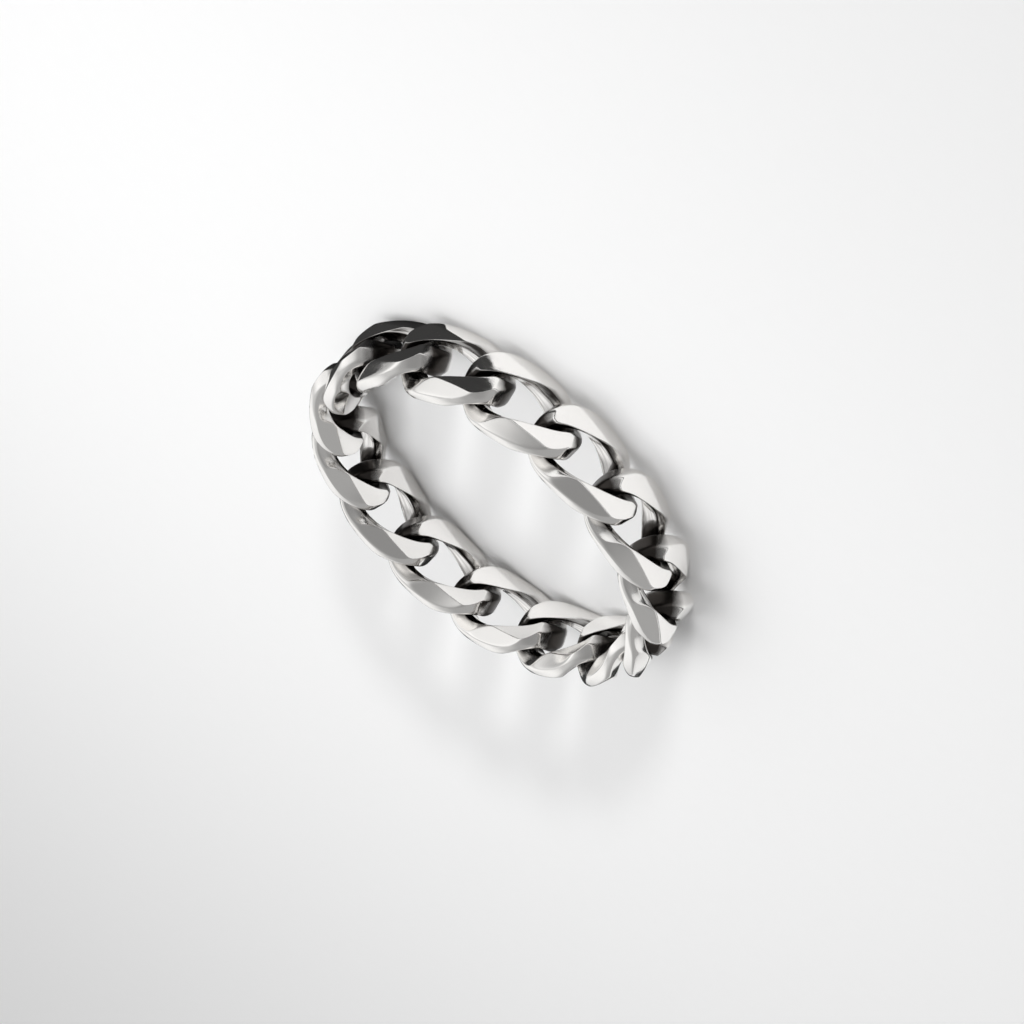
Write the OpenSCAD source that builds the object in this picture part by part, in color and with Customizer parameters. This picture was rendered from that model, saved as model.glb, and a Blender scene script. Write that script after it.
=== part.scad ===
// Chain link ring: a closed band of hooked curb links round a finger hole.
// Each link is one closed oval of bar, turned out of its flat towards both ends, so that the
// links hook through each other and still lie as one even band.
// The ring lies on its side. The origin is the middle of the finger hole, and +Z is its axis.

/* [Ring] */
// Diameter of the circle that runs through the middle of every link
middle_d = 20.2; // [19:0.1:22]
// Number of links round the ring
link_count = 15; // [14:1:16]

/* [Links] */
// Width of a link over both rails, along the ring's axis
link_w = 4.45; // [4.4:0.05:5.2]
// Play along the chain between two hooked ends
end_gap = 0.41; // [0.35:0.01:0.55]
// Play between a rail's end and the neighbour's rail that crosses it
rail_gap = 0.2; // [0.12:0.01:0.3]
// How far the oval is squared up from a plain ellipse
squareness = 0.032; // [0.026:0.002:0.05]

/* [Bar] */
// Width of the bar at mid-rail, in the plane of the link
bar_w = 1.11; // [0.85:0.01:1.16]
// Width of the bar at the link's two ends
end_w = 0.99; // [0.8:0.01:1.1]
// Thickness of the bar, across the plane of the link
bar_t = 1.4; // [1.1:0.02:1.44]
// Bevel on the bar's outer edges
outer_bevel = 0.15; // [0.05:0.01:0.25]
// Bevel on the outer edge at a rail's high end
outer_nose = 0.42; // [0.3:0.01:0.5]
// Bevel on the bar's edges beside the link's eye
inner_bevel = 0.27; // [0.2:0.01:0.35]
// Bevel on the edge beside the eye at a rail's high end
inner_nose = 0.41; // [0.36:0.01:0.5]

/* [Polished flats] */
// Lean of the side flat towards the rim of the band, in degrees
side_lean = 26; // [20:1:32]
// Climb of the side flat towards the rail's high end, in degrees
side_climb = 10; // [8:0.1:13]
// Lean of the top flat towards the link's eye, in degrees
top_lean = 4; // [0:1:8]
// Climb of the top flat towards the rail's high end, in degrees
top_climb = 9; // [7:0.1:11]
// Distance of the ridge between the two flats from the eye's wall, at mid-rail
ridge_inset = 0.2; // [0.1:0.01:0.3]
// Height of that ridge over the bar's plain top, at mid-rail
ridge_rise = 0.04; // [0:0.01:0.08]

/* [Hidden] */
// Cross-sections round one link, and corners of each
stations = 42;
sides = 12;
// Step to each side, in degrees, over which the bar's direction is measured
slope_step = 0.5;
// Least angle between the ridge and a corner of the plain bar
ridge_margin = 6;
// Angle round the oval of a rail's high end, and how sharply the bevels grow towards it
nose_at = 150;
nose_power = 8;

middle_r = middle_d / 2;
pitch = 2 * PI * middle_r / link_count;
// Length and half width of the oval that the middle of the bar follows
oval_l = pitch + end_w + end_gap;
oval_b = (link_w - bar_w) / 2;

// An ellipse with a third harmonic, which squares it up towards straight rails
function oval(a) = [
    oval_l / 2 * ((1 + squareness) * cos(a) - squareness * cos(3 * a)),
    oval_b * ((1 + squareness) * sin(a) + squareness * sin(3 * a))
];

// Two hooked links cross half a pitch from their middles. The turn there lifts one rail over
// the other by the bar's thickness and the play, and it grows evenly along the link.
cross_share = pitch / oval_l;
cross_reach = oval(acos(cross_share))[1];
end_turn = asin((bar_t + rail_gap) / 2 / cross_reach) / cross_share;
function turn(a) = end_turn * oval(a)[0] * 2 / oval_l;

// Link coordinates are: along the chain, along the ring's axis, and outwards from the middle circle
function bar_middle(a) = [
    oval(a)[0],
    oval(a)[1] * cos(turn(a)),
    -oval(a)[1] * sin(turn(a))
];
function unit(v) = v / norm(v);
function bar_way(a) = unit(bar_middle(a + slope_step) - bar_middle(a - slope_step));
function bar_up(a) =
    let (up = [0, sin(turn(a)), cos(turn(a))])
    unit(up - (up * bar_way(a)) * bar_way(a));
function bar_out(a) = cross(bar_way(a), bar_up(a));

// The bar is widest at mid-rail, and its bevels grow towards the rails' high ends, which lie on
// opposite sides of the link on the upper face (1) and the lower one (-1)
function width_at(a) = end_w + (bar_w - end_w) * pow(sin(a), 2);
function nose(a, face) = pow(cos(a - face * nose_at), nose_power);
function outer_at(a, face) = outer_bevel + (outer_nose - outer_bevel) * nose(a, face);
function inner_at(a, face) = inner_bevel + (inner_nose - inner_bevel) * nose(a, face);
function bevel_reach(a, bevel) = (width_at(a) / 2 + bar_t / 2 - bevel) * sin(45);

// Directions round the bar of the plain section's corners, from the rim over the face to the eye
function corners(a, face) = [
    atan2(bar_t / 2 - outer_at(a, face), width_at(a) / 2),
    atan2(bar_t / 2, width_at(a) / 2 - outer_at(a, face)),
    atan2(bar_t / 2, inner_at(a, face) - width_at(a) / 2),
    atan2(bar_t / 2 - inner_at(a, face), -width_at(a) / 2)
];

// The two polished flats meet in a ridge that starts beside the eye, half way along the rail
ridge_start = [0, oval_b - bar_w / 2 + ridge_inset, bar_t / 2 + ridge_rise];
function facing(climb, lean) = [sin(climb), cos(climb) * sin(lean), cos(climb) * cos(lean)];
flats = [facing(side_climb, side_lean), facing(top_climb, -top_lean)];
// Half turns about the link's three axes carry the flats to both rails and both faces
half_turns = [[1, 1, 1], [1, -1, -1], [-1, 1, -1], [-1, -1, 1]];
function turned(v, signs) = [v[0] * signs[0], v[1] * signs[1], v[2] * signs[2]];

// Distance of a flat from the middle of the bar
function flat_depth(flat, signs, middle) = flat * ridge_start - turned(flat, signs) * middle;

// One over the bar's reach from its middle along a ray: the nearest wall, bevel or flat ends it
function steepest(a, middle, ray, way) =
    let (face = way < 0 ? -1 : 1, round = abs(way))
    max(concat(
        [
            abs(cos(round)) / (width_at(a) / 2),
            sin(round) / (bar_t / 2),
            cos(round - 45) / bevel_reach(a, outer_at(a, face)),
            cos(round - 135) / bevel_reach(a, inner_at(a, face))
        ],
        [for (flat = flats, signs = half_turns)
            let (
                depth = flat_depth(flat, signs, middle),
                own = sin(a) * signs[1] > 0 && ray[2] * signs[2] > 0 && depth > 0
            )
            own ? turned(flat, signs) * ray / depth : 0]
    ));

// Direction of the ridge in a section, kept between the two corners of the plain bar's own face
function ridge_way(a, middle, out, up, face) =
    let (
        signs = [sign(sin(a)) * face, sign(sin(a)), face],
        side = turned(flats[0], signs),
        top = turned(flats[1], signs),
        side_depth = flat_depth(flats[0], signs, middle),
        top_depth = flat_depth(flats[1], signs, middle),
        crossing = atan2(
            (side * out) * top_depth - (top * out) * side_depth,
            (side_depth * (top * up) - top_depth * (side * up)) * face
        ),
        edges = corners(a, face)
    )
    min(max(crossing, edges[1] + ridge_margin), edges[2] - ridge_margin);

function section(a) =
    let (
        middle = bar_middle(a),
        out = bar_out(a),
        up = bar_up(a),
        upper = corners(a, 1),
        lower = corners(a, -1),
        rays = [
            0, upper[0], upper[1], ridge_way(a, middle, out, up, 1), upper[2], upper[3],
            180, -lower[3], -lower[2], -ridge_way(a, middle, out, up, -1), -lower[1], -lower[0]
        ]
    )
    [for (r = rays)
        let (ray = out * cos(r) + up * sin(r))
        middle + ray / steepest(a, middle, ray, r)];

// Bends the straight chain round the finger hole
function wrapped(p, start) =
    let (around = start + p[0] / middle_r * 180 / PI, out = middle_r + p[2])
    [out * cos(around), out * sin(around), p[1]];

module link(i) {
    points = [
        for (s = [0:stations - 1], p = section((s + 0.5) * 360 / stations))
            wrapped(p, i * 360 / link_count)
    ];
    faces = [
        for (s = [0:stations - 1], r = [0:sides - 1])
            let (
                s2 = (s + 1) % stations,
                r2 = (r + 1) % sides,
                near = s * sides + r,
                far = s2 * sides + r2
            )
            each [[near, s * sides + r2, far], [near, far, s2 * sides + r]]
    ];
    color([0.80, 0.80, 0.79])
        polyhedron(points = points, faces = faces, convexity = 6);
}

for (i = [0:link_count - 1])
    link(i);
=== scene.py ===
import math

import bpy
import numpy as np
from mathutils import Matrix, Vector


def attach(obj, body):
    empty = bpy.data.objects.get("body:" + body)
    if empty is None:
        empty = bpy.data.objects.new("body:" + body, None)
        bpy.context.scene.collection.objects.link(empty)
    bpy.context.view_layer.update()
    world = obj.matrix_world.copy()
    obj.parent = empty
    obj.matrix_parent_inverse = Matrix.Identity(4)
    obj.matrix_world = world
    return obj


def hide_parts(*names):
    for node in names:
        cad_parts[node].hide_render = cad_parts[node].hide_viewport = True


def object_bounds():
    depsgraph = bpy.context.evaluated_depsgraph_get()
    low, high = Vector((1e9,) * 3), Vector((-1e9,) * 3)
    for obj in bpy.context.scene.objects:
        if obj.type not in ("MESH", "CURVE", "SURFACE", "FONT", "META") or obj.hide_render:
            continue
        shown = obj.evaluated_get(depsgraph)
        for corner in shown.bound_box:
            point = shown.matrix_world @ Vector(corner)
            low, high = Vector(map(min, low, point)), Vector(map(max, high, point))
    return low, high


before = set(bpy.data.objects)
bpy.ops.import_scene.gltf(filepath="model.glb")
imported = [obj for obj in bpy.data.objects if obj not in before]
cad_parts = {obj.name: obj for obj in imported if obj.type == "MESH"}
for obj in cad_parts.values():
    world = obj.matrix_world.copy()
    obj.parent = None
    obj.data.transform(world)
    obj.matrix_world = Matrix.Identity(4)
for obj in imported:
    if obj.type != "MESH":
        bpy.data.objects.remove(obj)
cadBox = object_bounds()
mm = 0.001
linkCount = len(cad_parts)
print("frame loaded:", linkCount, "links")


# The links

link = {
    "middleRadius": 10.1 * mm,               # circle through the middle of every link
    "width": 4.45 * mm,                      # over both rails
    "endGap": 0.41 * mm,                     # play along the chain between two hooked ends
    "railGap": 0.20 * mm,                    # play where a rail crosses its neighbour's
    "squareness": 0.032,                     # third harmonic that squares the oval up
    "barWidth": (1.11 * mm, 0.99 * mm),      # in the plane of the link: at mid-rail, and at its ends
    "barThickness": 1.40 * mm,               # across the plane of the link
    "outerBevel": (0.15 * mm, 0.42 * mm),    # at mid-rail, and on the nose, a rail's high end
    "innerBevel": (0.27 * mm, 0.41 * mm),
    "noseAt": 150,                           # degrees round the oval
    "nosePower": 8,                          # higher keeps the nose's bevels nearer the nose
    "sideFlat": (26, 10),                    # lean towards the rim and climb to the nose, degrees
    "topFlat": (-4, 9),
    "flatEnd": 0.16,                         # sine of the oval angle below which a flat lifts off
    "ridgeInset": 0.20 * mm,                 # from the eye's wall, at mid-rail
    "ridgeRise": 0.034 * mm,                 # over the bar's plain top, at mid-rail
    "crispness": 32,                         # of the edges, higher is sharper
    "softness": 12,                          # of the rim, higher is sharper
    "stepsAlong": 240,
    "stepsRound": 128,
    "fineSteps": 1440,                       # round a section, where its corners are looked for
    "cornerShare": 0.5,                      # share of the steps round that gather at corners
}
shadeAndDullZones = {
    # where painted shade darkens the metal, on the eye's wall and in the crook where the neighbour hooks
    # in, the crook's metal also rougher; each as where it starts and where it is full:
    # across the bar from -1 at the rim to 1 at the eye, along it as a share of the link's half length
    "eyeAcross": (-0.10, 0.40),
    "eyeMiddleAcross": (0.825, 0.95),        # the middle of the eye's wall, which gets less painted shade
    "eyeMiddleShadeLoss": 0.7,                    # how much less painted shade
    "crookAcross": (-0.45, 0.05),
    "crookAlong": (0.54, 0.79),
    "endAlong": (0.89, 1.001),               # the link's very end, all round the bar
}


def unit(v):
    return v / np.linalg.norm(v, axis=-1, keepdims=True)


def ramp(x, start, full):
    # (x - start) / (full - start), held between 0 and 1
    return np.clip((x - start) / (full - start), 0, 1)


def oval(a, length, halfWidth):
    # ellipse of angle a with a third harmonic k:
    # x = length / 2 ((1 + k) cos a - k cos 3a), y = halfWidth ((1 + k) sin a + k sin 3a)
    k = link["squareness"]
    return (length / 2 * ((1 + k) * np.cos(a) - k * np.cos(3 * a)),
            halfWidth * ((1 + k) * np.sin(a) + k * np.sin(3 * a)))


def twistedOval(a, length, halfWidth, endTurn):
    # the oval, each point turned about the chain's line by endTurn times its share of the half length
    x, y = oval(a, length, halfWidth)
    turn = endTurn * x * 2 / length
    return np.stack([x, y * np.cos(turn), -y * np.sin(turn)], axis=-1), turn


def flatFacing(lean, climb):
    # normal of a flat: up, leaned sideways by lean and along the rail by climb
    lean, climb = math.radians(lean), math.radians(climb)
    return np.array([math.sin(climb), math.cos(climb) * math.sin(lean), math.cos(climb) * math.cos(lean)])


def barReach(v, a, ray, middle, halfWidth):
    # How far the bar reaches from its middle in the direction v of each section. Each wall, bevel and flat
    # pulls with (direction . normal / distance), and the reach is one over their power mean: a high power
    # gives crisp edges, a low one lets the rim and the side flats run softly into each other. The second
    # result is the polished flats' share of the pull: 1 on a flat and 0 beside it.
    crispness, softness = link["crispness"], link["softness"]
    railWidth, endWidth = link["barWidth"]
    width = (endWidth + (railWidth - endWidth) * np.sin(a) ** 2)[:, None]
    top = link["barThickness"] / 2
    level = np.cos(v)
    soft = np.maximum(level * 2 * railWidth / width, 0) ** softness
    crisp = np.maximum(-level * 2 * railWidth / width, 0) ** crispness
    for face in (1, -1):
        # the nose is a smooth bump along the oval, with a mirrored twin on the link's other face
        nose = (np.cos(a - face * math.radians(link["noseAt"])) ** link["nosePower"])[:, None]
        outer, inner = (atRail + (atNose - atRail) * nose
                        for atRail, atNose in (link["outerBevel"], link["innerBevel"]))
        upwards = face * np.sin(v)
        crisp += np.maximum(upwards * railWidth / top, 0) ** crispness
        crisp += np.maximum((upwards - level) * railWidth / (width / 2 + top - inner), 0) ** crispness
        soft += np.maximum((upwards + level) * railWidth / (width / 2 + top - outer), 0) ** softness
    plain = crisp + soft ** (crispness / softness)

    ridge = np.array([0, halfWidth - railWidth / 2 + link["ridgeInset"], top + link["ridgeRise"]])
    leastDepth = 0.01 * mm
    flats = ((link["sideFlat"], soft, softness), (link["topFlat"], crisp, crispness))
    for (lean, climb), pull, power in flats:
        normal = flatFacing(lean, climb)
        # half turns about the link's three axes carry the flat to both rails and both faces
        for signs in ((1, 1, 1), (1, -1, -1), (-1, 1, -1), (-1, -1, 1)):
            turned = normal * np.array(signs)
            onRail = np.sin(a) * signs[1]
            # towards the link's two ends the flat lifts off the bar
            lift = (1 - onRail / link["flatEnd"]).clip(0, 1) ** 2 * link["barThickness"]
            depth = np.maximum(normal @ ridge - middle @ turned + lift, leastDepth)[:, None]
            own = (onRail > 0)[:, None] & (ray[..., 2] * signs[2] > 0)
            pull += np.where(own, np.maximum(ray @ turned / depth * railWidth, 0), 0) ** power
    total = crisp + soft ** (crispness / softness)
    return railWidth * total ** (-1 / crispness), 1 - plain / total


def cornerSeekingSteps(fineV, fineReach, steps):
    # Steps round each section, spaced evenly in a sum of arc length and turning, so that they gather at
    # the corners. Each section's sum runs from 0 to 1, and the section's number is added to it.
    x, y = fineReach * np.cos(fineV), fineReach * np.sin(fineV)
    dx, dy = np.diff(x, axis=1), np.diff(y, axis=1)
    arc = np.hypot(dx, dy)
    heading = np.unwrap(np.arctan2(dy, dx), axis=1)
    turning = np.abs(np.diff(heading, axis=1, prepend=heading[:, :1]))
    share = link["cornerShare"]
    weight = (1 - share) * arc / arc.sum(1, keepdims=True) + share * turning / turning.sum(1, keepdims=True)
    run = np.concatenate([np.zeros((len(x), 1)), np.cumsum(weight, axis=1)], axis=1)
    section = np.arange(len(x))[:, None]
    wanted = section + np.arange(steps)[None, :] / steps
    steady = section + run / run[:, -1:]
    return np.interp(wanted.ravel(), steady.ravel(), fineV.ravel()).reshape(wanted.shape)


def linkSurface():
    # grid of points in link coordinates (along the chain, across the band, outwards): the middle of the bar
    # at each step along the twisted oval, plus the bar's reach in each direction round it
    pitch = 2 * math.pi * link["middleRadius"] / linkCount
    length = pitch + link["barWidth"][1] + link["endGap"]
    halfWidth = (link["width"] - link["barWidth"][0]) / 2
    # hooked links cross half a pitch from their middles, one bar over the other
    crossReach = oval(np.arccos(pitch / length), length, halfWidth)[1]
    endTurn = math.asin((link["barThickness"] + link["railGap"]) / 2 / crossReach) * length / pitch

    a = (np.arange(link["stepsAlong"]) + 0.5) / link["stepsAlong"] * 2 * math.pi
    middle, turn = twistedOval(a, length, halfWidth, endTurn)
    nudge = 1e-4
    way = unit(twistedOval(a + nudge, length, halfWidth, endTurn)[0]
               - twistedOval(a - nudge, length, halfWidth, endTurn)[0])
    lift = np.stack([0 * turn, np.sin(turn), np.cos(turn)], axis=-1)
    up = unit(lift - (lift * way).sum(-1, keepdims=True) * way)
    out = np.cross(way, up)

    def rayOf(v):
        return out[:, None] * np.cos(v)[..., None] + up[:, None] * np.sin(v)[..., None]

    fine = np.linspace(-math.pi, math.pi, link["fineSteps"] + 1)
    fine = np.repeat(fine[None, :], len(a), axis=0)
    fineReach = barReach(fine, a, rayOf(fine), middle, halfWidth)[0]
    v = cornerSeekingSteps(fine, fineReach, link["stepsRound"])
    ray = rayOf(v)
    reach, polished = barReach(v, a, ray, middle, halfWidth)
    points = middle[:, None] + ray * reach[..., None]

    # from 0 to 1, how far a point lies beside the eye, and in the crook where the neighbour hooks in: the
    # masks of painted shade, the crook's also making the metal rougher
    across = -np.cos(v)
    along = np.abs(middle[:, :1]) / (length / 2)
    # painted shade on the eye's wall, off the flats and less in the wall's middle
    shadeKept = 1 - shadeAndDullZones["eyeMiddleShadeLoss"] * ramp(across, *shadeAndDullZones["eyeMiddleAcross"])
    eyeWallShade = (1 - polished) * ramp(across, *shadeAndDullZones["eyeAcross"]) * shadeKept
    hollow = ramp(across, *shadeAndDullZones["crookAcross"]) * ramp(along, *shadeAndDullZones["crookAlong"])
    # the crook: painted shade and rougher metal, off the flats
    crook = (1 - polished) * np.maximum(hollow, ramp(along, *shadeAndDullZones["endAlong"]))

    # place on the bar, along it and round it, in millimetres, and the rail's own layer of the pattern
    roundScale, railLayer = 0.6, 9
    onBar = np.stack([np.broadcast_to(middle[:, :1] / mm, v.shape),
                      np.sin(v) * roundScale,
                      np.broadcast_to(np.sign(np.sin(a))[:, None] * railLayer, v.shape)], axis=-1)
    return points, eyeWallShade, crook, onBar


def wrapRound(points, start):
    # bends the straight chain: angle = start + along / radius, distance from the axis = radius + outwards
    around = start + points[..., 0] / link["middleRadius"]
    outwards = link["middleRadius"] + points[..., 2]
    return np.stack([outwards * np.cos(around), outwards * np.sin(around), points[..., 1]], axis=-1)


def closedGridMesh(name, points, attributes):
    # a mesh of a grid that closes on itself both ways, each quad joining four neighbours
    along, across = points.shape[:2]
    i, j = np.meshgrid(np.arange(along), np.arange(across), indexing="ij")
    nextI, nextJ = (i + 1) % along, (j + 1) % across
    quads = np.stack([i * across + j, nextI * across + j,
                      nextI * across + nextJ, i * across + nextJ], axis=-1).reshape(-1, 4)
    mesh = bpy.data.meshes.new(name)
    mesh.vertices.add(along * across)
    mesh.vertices.foreach_set("co", points.reshape(-1).astype(np.float32))
    mesh.loops.add(quads.size)
    mesh.loops.foreach_set("vertex_index", quads.reshape(-1).astype(np.int32))
    mesh.polygons.add(len(quads))
    mesh.polygons.foreach_set("loop_start", np.arange(len(quads), dtype=np.int32) * 4)
    mesh.polygons.foreach_set("use_smooth", np.ones(len(quads), dtype=bool))
    for key, (kind, values) in attributes.items():
        layer = mesh.attributes.new(key, kind, "POINT")
        column = "vector" if kind == "FLOAT_VECTOR" else "value"
        layer.data.foreach_set(column, values.reshape(-1).astype(np.float32))
    mesh.update(calc_edges=True)
    mesh.validate()
    return mesh


# Materials

silver = {
    "colour": (0.985, 0.968, 0.945),
    "crookShadeColour": (0.055, 0.049, 0.045),    # painted shade in the crook where the neighbour hooks in, in place of the bright neighbour's reflection
    "eyeWallShadeColour": (0.088, 0.080, 0.074),   # painted shade on the eye's wall, in streaks along the bar
    "roughness": (0.05, 0.15),               # of clean and of smeared polish
    "crookRoughness": 0.30,
    "waveScale": 0.9,                        # waves per millimetre
    "waveDepth": 0.006 * mm,
    "scratchScale": (1.2, 26, 26),           # per millimetre, along the band, across it and outwards
    "scratchDepth": 0.0006 * mm,
    "scratchRoughness": 0.05,                # added where the noise is over scratchEdge
    "scratchEdge": (0.45, 0.75),
    "patchScale": 2.6,                       # smeared patches
    "patchEdge": (0.35, 0.70),
    "patchShare": 0.24,                      # of the patches in the crook's ragged edge
    "crookEdge": (0.28, 0.92),
    "streakScale": (0.5, 6.5, 1),            # per millimetre, along the bar and round it
    "streakEdge": (0.40, 0.60),
    "streakLeast": 0.15,                     # painted shade kept between the streaks
    "linkLayer": (17.0, 31.0),               # steps that give each link its own part of the patterns
}
paper = {
    "colour": (0.86, 0.86, 0.86),
    "grainShade": 0.99,
    "grainScale": 900,
    "roughness": 0.6,
}


class NodeDesk:
    # short calls for building a node tree
    mixSockets = {"FLOAT": (2, 3, 0), "RGBA": (6, 7, 2)}    # first input, second input and output of a kind

    def __init__(self, owner):
        self.owner = owner
        self.owner.use_nodes = True
        self.tree = owner.node_tree

    def add(self, kind, inputs=None, **settings):
        node = self.tree.nodes.new(kind)
        for key, value in settings.items():
            setattr(node, key, value)
        for key, value in (inputs or {}).items():
            self.feed(value, node.inputs[key])
        return node

    def feed(self, value, socket):
        if isinstance(value, bpy.types.NodeSocket):
            self.tree.links.new(value, socket)
        else:
            socket.default_value = value

    def attribute(self, name, output):
        return self.add("ShaderNodeAttribute", attribute_name=name).outputs[output]

    def scaled(self, place, scale):
        return self.add("ShaderNodeMapping", {"Vector": place, "Scale": scale}).outputs["Vector"]

    def noise(self, place, scale, detail, roughness):
        node = self.add("ShaderNodeTexNoise", {"Vector": place, "Scale": scale, "Detail": detail,
                                               "Roughness": roughness})
        return node.outputs["Fac"]

    def range(self, value, low, high, toLow, toHigh, **settings):
        node = self.add("ShaderNodeMapRange", {"Value": value, "From Min": low, "From Max": high,
                                               "To Min": toLow, "To Max": toHigh}, **settings)
        return node.outputs["Result"]

    def mix(self, kind, share, first, second):
        firstSocket, secondSocket, output = self.mixSockets[kind]
        node = self.add("ShaderNodeMix", {0: share}, data_type=kind)
        self.feed(first, node.inputs[firstSocket])
        self.feed(second, node.inputs[secondSocket])
        return node.outputs[output]

    def maths(self, operation, first, second):
        return self.add("ShaderNodeMath", {0: first, 1: second}, operation=operation).outputs[0]


def silverMaterial():
    # polished silver: fine scratches along the band, slow waves left by hand polishing, painted shade on
    # the eyes' walls, and darker painted shade in the crooks, which are also rougher
    desk = NodeDesk(bpy.data.materials.new("polished_silver"))
    shader = desk.tree.nodes["Principled BSDF"]
    place = desk.attribute("linkPlace", "Vector")
    crook = desk.attribute("crook", "Fac")
    eyeWallShade = desk.attribute("eyeWallShade", "Fac")
    onBar = desk.attribute("onBar", "Vector")
    scratches = desk.noise(desk.scaled(place, silver["scratchScale"]), 1.0, 3.0, 0.6)
    waves = desk.noise(place, silver["waveScale"], 1.0, 0.4)
    patches = desk.noise(place, silver["patchScale"], 4.0, 0.55)
    streaks = desk.noise(desk.scaled(onBar, silver["streakScale"]), 1.0, 3.0, 0.6)

    smear = desk.range(patches, *silver["patchEdge"], *silver["roughness"])
    scratched = desk.range(scratches, *silver["scratchEdge"], 0.0, silver["scratchRoughness"])
    streaked = desk.range(streaks, *silver["streakEdge"], silver["streakLeast"], 1.0)
    # painted shade on the eyes' walls, in streaks along the bar
    eyeWallShading = desk.maths("MULTIPLY", eyeWallShade, streaked)
    ragged = desk.maths("ADD", crook, desk.maths("MULTIPLY", patches, silver["patchShare"]))
    # the crook: rougher metal and a near-black painted shade, with a ragged edge
    dullAndShaded = desk.range(ragged, *silver["crookEdge"], 0.0, 1.0)
    shine = desk.maths("ADD", smear, scratched)
    roughness = desk.mix("FLOAT", dullAndShaded, shine, silver["crookRoughness"])
    walls = desk.mix("RGBA", eyeWallShading, (*silver["colour"], 1), (*silver["eyeWallShadeColour"], 1))
    # darker painted shade in the crooks over the colour
    colour = desk.mix("RGBA", dullAndShaded, walls, (*silver["crookShadeColour"], 1))
    wavy = desk.add("ShaderNodeBump", {"Height": waves, "Distance": silver["waveDepth"], "Strength": 1.0})
    fine = desk.add("ShaderNodeBump", {"Height": scratches, "Distance": silver["scratchDepth"],
                                       "Strength": 1.0, "Normal": wavy.outputs["Normal"]})
    desk.feed(roughness, shader.inputs["Roughness"])
    desk.feed(colour, shader.inputs["Base Color"])
    desk.feed(fine.outputs["Normal"], shader.inputs["Normal"])
    shader.inputs["Metallic"].default_value = 1.0
    return desk.owner


def paperMaterial():
    # plain pale board under the ring, with a trace of grain
    desk = NodeDesk(bpy.data.materials.new("pale_board"))
    shader = desk.tree.nodes["Principled BSDF"]
    place = desk.add("ShaderNodeTexCoord").outputs["Object"]
    grain = desk.noise(place, paper["grainScale"], 2.0, 0.5)
    tone = paper["colour"]
    shade = [paper["grainShade"] * part for part in tone]
    desk.feed(desk.mix("RGBA", grain, (*shade, 1), (*tone, 1)), shader.inputs["Base Color"])
    shader.inputs["Roughness"].default_value = paper["roughness"]
    # a sheen on the board would show the dark card's edge
    shader.inputs["Specular IOR Level"].default_value = 0.0
    return desk.owner


def cardMaterial():
    # matt black card
    desk = NodeDesk(bpy.data.materials.new("dark_card"))
    shader = desk.tree.nodes["Principled BSDF"]
    shader.inputs["Base Color"].default_value = (*darkCard["colour"], 1)
    shader.inputs["Roughness"].default_value = darkCard["roughness"]
    shader.inputs["Specular IOR Level"].default_value = darkCard["sheen"]
    return desk.owner


silverSkin = silverMaterial()
linkPoints, linkEyeWallShade, linkCrook, linkOnBar = linkSurface()
placeStep, barStep = silver["linkLayer"]
for number in range(linkCount):
    node = "link_%02d" % (number + 1)
    points = wrapRound(linkPoints, number * 2 * math.pi / linkCount)
    mesh = closedGridMesh(node + "_polished", points, {
        "linkPlace": ("FLOAT_VECTOR", linkPoints / mm + np.array([number * placeStep, 0, 0])),
        "eyeWallShade": ("FLOAT", linkEyeWallShade),
        "crook": ("FLOAT", linkCrook),
        "onBar": ("FLOAT_VECTOR", linkOnBar + np.array([0, 0, number * barStep])),
    })
    mesh.materials.append(silverSkin)
    piece = bpy.data.objects.new(node + "_polished", mesh)
    bpy.context.collection.objects.link(piece)
    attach(piece, "root")
    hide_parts(node)
print("links made:", linkCount)


# Floor, light and camera

floorLook = {"halfSize": 0.6}
darkCard = {                                 # lies round the ring and shows in its reflections alone
    "middle": (-4 * mm, -2 * mm),
    "window": (12.8 * mm, 16 * mm),          # half sizes of its opening
    "squareness": 6,                         # of the opening: 2 is an ellipse, higher nearer a rectangle
    "reach": (20 * mm, 300 * mm),            # from its middle to the edges on -X and -Y, and on +X and +Y
    "lift": 0.05 * mm,                       # over the board
    "colour": (0.03, 0.03, 0.03),
    "roughness": 0.9,
    "sheen": 0.1,
}
lights = {
    # name: azimuth and elevation as seen from the ring, distance, width and height in metres, power
    "key": (20, 11, 1.00, 0.12, 0.05, 7.6),
    "overhead": (0, 88, 0.30, 0.30, 0.30, 0.055),
    "softBox": (90, 74, 0.092, 0.08, 0.06, 0.032),
    "side": (120, 60, 0.15, 0.10, 0.10, 0.033),
}
worldLook = {
    "room": 0.36,                            # brightness where there is no wall
    "walls": [                               # azimuth, elevation, outer and inner half angles, brightness
        (84, 26, 46, 6, 0.50),
        (145, 45, 60, 20, 0.20),
        (174, 20, 46, 10, 0.39),
        (-10, 28, 45, 8, -0.10),
    ],
}
cameraLook = {
    "azimuth": 5.24, "elevation": 26.12, "roll": -138.25,     # degrees
    "distance": 0.21300,
    "aim": (-0.70 * mm, -0.15 * mm, -0.19 * mm),
    "lens": 147.5, "sensor": 36,                              # millimetres
    "clipStart": 0.005,
}


def placeFacing(obj, spot, target, roll=0.0):
    # looks from spot to target with up kept level, then rolls about the line of sight
    look = unit(np.array(target) - np.array(spot))
    right = unit(np.cross(look, (0, 0, 1)))
    upright = np.cross(right, look)
    c, s = math.cos(math.radians(roll)), math.sin(math.radians(roll))
    matrix = np.eye(4)
    matrix[:3, 0] = right * c + upright * s
    matrix[:3, 1] = upright * c - right * s
    matrix[:3, 2] = -look
    matrix[:3, 3] = spot
    obj.matrix_world = Matrix(matrix.tolist())


def onSphere(azimuth, elevation, distance):
    # distance * (sin azimuth cos elevation, -cos azimuth cos elevation, sin elevation), so azimuth 0 lies
    # towards -Y and grows towards +X
    turn, climb = math.radians(azimuth), math.radians(elevation)
    level = distance * math.cos(climb)
    return np.array([level * math.sin(turn), -level * math.cos(turn), distance * math.sin(climb)])


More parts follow.
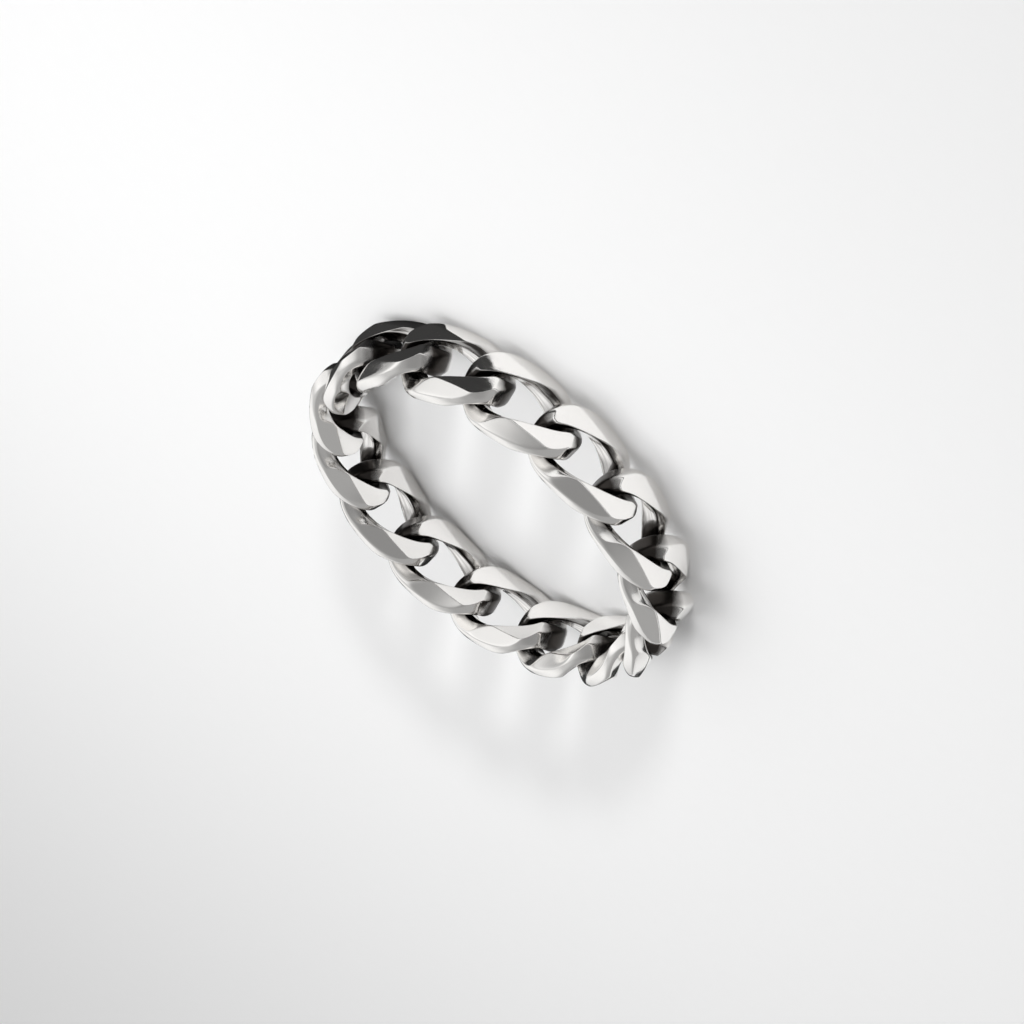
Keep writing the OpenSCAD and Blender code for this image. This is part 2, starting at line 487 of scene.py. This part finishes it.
def cardWithWindow(name, window, squareness, reach, middle, steps=192):
    # two closed curves joined by quads: a window |x/a|^n + |y/b|^n = 1, and a rectangle round it
    turn = (np.arange(steps) + 0.5) / steps * 2 * math.pi
    circle = np.stack([np.cos(turn), np.sin(turn)], axis=-1)
    inner = (np.abs(circle / window) ** squareness).sum(1) ** (-1 / squareness)
    outer = (np.where(circle > 0, reach[1], reach[0]) / np.abs(circle)).min(axis=1)
    points = np.concatenate([circle * inner[:, None], circle * outer[:, None]])
    points = np.column_stack([points, np.zeros(2 * steps)]) + np.array(middle)
    i = np.arange(steps)
    quads = np.stack([i, i + steps, (i + 1) % steps + steps, (i + 1) % steps], axis=-1)
    mesh = bpy.data.meshes.new(name)
    mesh.from_pydata(points.tolist(), [], quads.tolist())
    return bpy.data.objects.new(name, mesh)


floorHeight = float(cadBox[0][2])
half = floorLook["halfSize"]
floorCorners = [(-half, -half, floorHeight), (half, -half, floorHeight),
                (half, half, floorHeight), (-half, half, floorHeight)]
floorMesh = bpy.data.meshes.new("board")
floorMesh.from_pydata(floorCorners, [], [(0, 1, 2, 3)])
floorMesh.materials.append(paperMaterial())
floor = bpy.data.objects.new("board", floorMesh)
bpy.context.collection.objects.link(floor)

card = cardWithWindow("dark_card", darkCard["window"], darkCard["squareness"], darkCard["reach"],
                      (*darkCard["middle"], floorHeight + darkCard["lift"]))
card.data.materials.append(cardMaterial())
bpy.context.collection.objects.link(card)
card.visible_camera = False
card.visible_diffuse = False
card.visible_shadow = False

for name, (azimuth, elevation, distance, width, height, power) in lights.items():
    lamp = bpy.data.lights.new(name, "AREA")
    lamp.shape = "RECTANGLE"
    lamp.size, lamp.size_y = width, height
    lamp.energy = power
    lampObject = bpy.data.objects.new(name, lamp)
    bpy.context.collection.objects.link(lampObject)
    lampObject.visible_glossy = False        # the metal reflects the room, the board and the card alone
    placeFacing(lampObject, onSphere(azimuth, elevation, distance), (0, 0, 0))


def studioWorld():
    # dim room with paler walls and a darker one: the brightness is the room's own plus each wall's, which
    # rises smoothly from the wall's outer half angle to its inner one
    desk = NodeDesk(bpy.data.worlds.new("studio"))
    background = desk.tree.nodes["Background"]
    background.inputs["Color"].default_value = (1, 1, 1, 1)
    direction = desk.add("ShaderNodeTexCoord").outputs["Generated"]
    total = worldLook["room"]
    for azimuth, elevation, outer, inner, level in worldLook["walls"]:
        middle = onSphere(azimuth, elevation, 1.0).tolist()
        nearness = desk.add("ShaderNodeVectorMath", {0: direction, 1: middle}, operation="DOT_PRODUCT")
        outerEdge, innerEdge = math.cos(math.radians(outer)), math.cos(math.radians(inner))
        wall = desk.range(nearness.outputs["Value"], outerEdge, innerEdge, 0.0, level,
                          interpolation_type="SMOOTHSTEP")
        total = desk.maths("ADD", total, wall)
    desk.feed(total, background.inputs["Strength"])
    return desk.owner


bpy.context.scene.world = studioWorld()
bpy.context.scene.view_settings.view_transform = "Standard"

camera = bpy.data.objects.new("camera", bpy.data.cameras.new("camera"))
bpy.context.collection.objects.link(camera)
camera.data.lens = cameraLook["lens"]
camera.data.sensor_width = cameraLook["sensor"]
camera.data.clip_start = cameraLook["clipStart"]
aim = np.array(cameraLook["aim"])
spot = aim + onSphere(cameraLook["azimuth"], cameraLook["elevation"], cameraLook["distance"])
placeFacing(camera, spot, aim, cameraLook["roll"])
bpy.context.scene.camera = camera
print("stage set")
